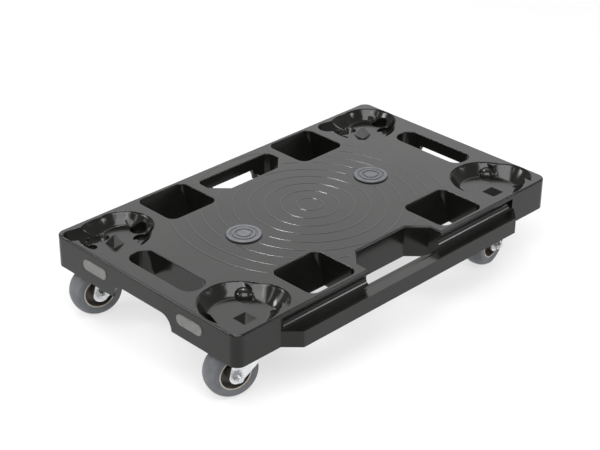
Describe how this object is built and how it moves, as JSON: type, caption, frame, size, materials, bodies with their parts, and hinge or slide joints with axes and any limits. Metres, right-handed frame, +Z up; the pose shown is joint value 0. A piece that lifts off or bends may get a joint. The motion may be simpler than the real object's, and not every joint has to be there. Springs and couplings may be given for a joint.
{
  "type": "platform dolly",
  "caption": "Low ribbed plastic platform dolly with corner cups, hand slots, square openings and a side coupling bar, standing on swivel casters with elastic tyres.",
  "frame": {"origin": "on the floor, under the middle of the overall outline", "axes": "+X along the deck towards the front end, +Y towards the side opposite the coupling bar, +Z up"},
  "size_m": [0.628, 0.39, 0.1275],
  "materials": {
    "deck_plastic": "semi-gloss moulded black polypropylene with a fine grain",
    "pad_rubber": "matte blue-grey elastomer",
    "bumper_rubber": "matte grey elastomer",
    "zinc_steel": "bright zinc plated pressed steel",
    "bolt_steel": "zinc plated machined steel",
    "ball_steel": "polished bearing steel",
    "hub_plastic": "dark moulded nylon",
    "tyre_elastomer": "smooth grey elastic tread"
  },
  "bodies": {
    "deck": {"deck": "deck_plastic", "rear_grip_pad": "pad_rubber", "front_grip_pad": "pad_rubber", "rear_right_bumper": "bumper_rubber", "rear_left_bumper": "bumper_rubber", "front_right_bumper": "bumper_rubber", "front_left_bumper": "bumper_rubber", "rear_right_mount_plate": "zinc_steel", "rear_right_plate_screws": "bolt_steel", "rear_right_kingpin": "bolt_steel", "rear_left_mount_plate": "zinc_steel", "rear_left_plate_screws": "bolt_steel", "rear_left_kingpin": "bolt_steel", "front_right_mount_plate": "zinc_steel", "front_right_plate_screws": "bolt_steel", "front_right_kingpin": "bolt_steel", "front_left_mount_plate": "zinc_steel", "front_left_plate_screws": "bolt_steel", "front_left_kingpin": "bolt_steel"},
    "rear_right_swivel": {"rear_right_fork": "zinc_steel", "rear_right_swivel_balls": "ball_steel", "rear_right_axle_bolt": "bolt_steel", "rear_right_axle_nut": "bolt_steel", "rear_right_axle_sleeve": "bolt_steel"},
    "rear_right_wheel": {"rear_right_wheel_hub": "hub_plastic", "rear_right_tyre": "tyre_elastomer"},
    "rear_left_swivel": {"rear_left_fork": "zinc_steel", "rear_left_swivel_balls": "ball_steel", "rear_left_axle_bolt": "bolt_steel", "rear_left_axle_nut": "bolt_steel", "rear_left_axle_sleeve": "bolt_steel"},
    "rear_left_wheel": {"rear_left_wheel_hub": "hub_plastic", "rear_left_tyre": "tyre_elastomer"},
    "front_right_swivel": {"front_right_fork": "zinc_steel", "front_right_swivel_balls": "ball_steel", "front_right_axle_bolt": "bolt_steel", "front_right_axle_nut": "bolt_steel", "front_right_axle_sleeve": "bolt_steel"},
    "front_right_wheel": {"front_right_wheel_hub": "hub_plastic", "front_right_tyre": "tyre_elastomer"},
    "front_left_swivel": {"front_left_fork": "zinc_steel", "front_left_swivel_balls": "ball_steel", "front_left_axle_bolt": "bolt_steel", "front_left_axle_nut": "bolt_steel", "front_left_axle_sleeve": "bolt_steel"},
    "front_left_wheel": {"front_left_wheel_hub": "hub_plastic", "front_left_tyre": "tyre_elastomer"}
  },
  "joints": [
    {"name": "rear_right_turn", "type": "hinge", "parent": "deck", "child": "rear_right_swivel", "pos_m": [-0.25, -0.129, 0.09], "axis": [0, 0, 1], "continuous": true},
    {"name": "rear_right_roll", "type": "hinge", "parent": "rear_right_swivel", "child": "rear_right_wheel", "pos_m": [-0.27595, -0.12156, 0.0375], "axis": [0.2756, 0.9613, 0], "continuous": true},
    {"name": "rear_left_turn", "type": "hinge", "parent": "deck", "child": "rear_left_swivel", "pos_m": [-0.25, 0.15, 0.09], "axis": [0, 0, 1], "continuous": true},
    {"name": "rear_left_roll", "type": "hinge", "parent": "rear_left_swivel", "child": "rear_left_wheel", "pos_m": [-0.27595, 0.15744, 0.0375], "axis": [0.2756, 0.9613, 0], "continuous": true},
    {"name": "front_right_turn", "type": "hinge", "parent": "deck", "child": "front_right_swivel", "pos_m": [0.25, -0.129, 0.09], "axis": [0, 0, 1], "continuous": true},
    {"name": "front_right_roll", "type": "hinge", "parent": "front_right_swivel", "child": "front_right_wheel", "pos_m": [0.22333, -0.13322, 0.0375], "axis": [-0.1564, 0.9877, 0], "continuous": true},
    {"name": "front_left_turn", "type": "hinge", "parent": "deck", "child": "front_left_swivel", "pos_m": [0.25, 0.15, 0.09], "axis": [0, 0, 1], "continuous": true},
    {"name": "front_left_roll", "type": "hinge", "parent": "front_left_swivel", "child": "front_left_wheel", "pos_m": [0.223, 0.15, 0.0375], "axis": [0, 1, 0], "continuous": true}
  ]
}
